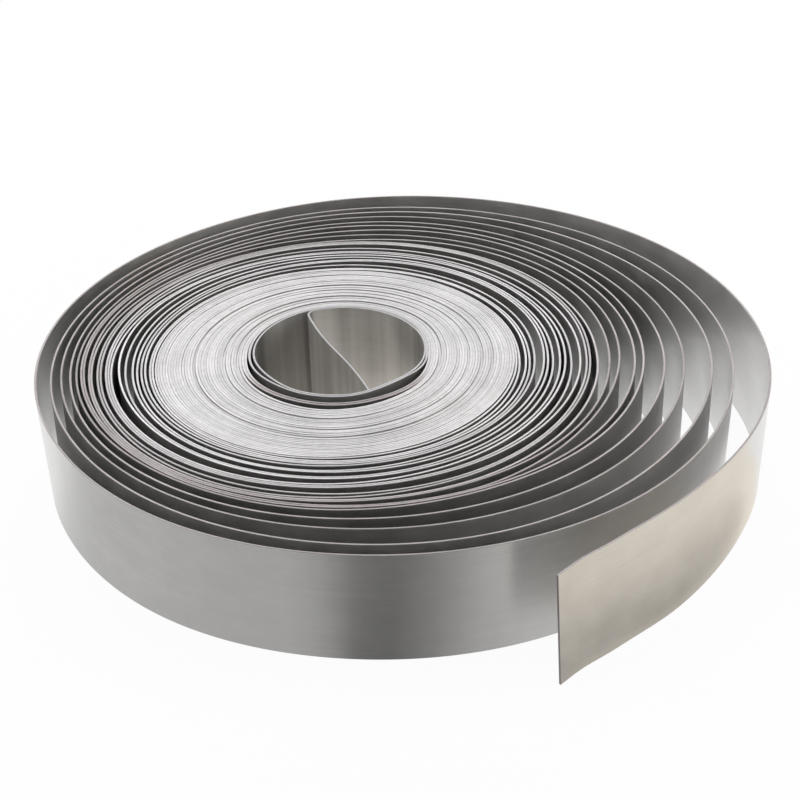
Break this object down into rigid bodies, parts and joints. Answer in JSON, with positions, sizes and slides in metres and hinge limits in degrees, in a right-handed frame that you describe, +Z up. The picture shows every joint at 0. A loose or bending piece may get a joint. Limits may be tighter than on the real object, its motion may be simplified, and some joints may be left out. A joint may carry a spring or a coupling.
{
  "type": "coiled galvanized steel strip",
  "caption": "Flat galvanized steel strip in a loose coil that lies flat, with a tight inner pack, an open bore and a free outer end that stands off.",
  "frame": {"origin": "centre of the coil's footprint, on the floor it lies on", "axes": "+Z up along the coil's axis and across the strip, +X towards the side where the loose turns spread, -Y towards the free outer end"},
  "size_m": [0.3103, 0.3076, 0.05],
  "materials": {
    "galvanized_steel": "smooth bright zinc coating with a fine rolling grain along the strip and bright slit edges"
  },
  "bodies": {
    "root": {"steel_strip": "galvanized_steel"}
  },
  "joints": []
}
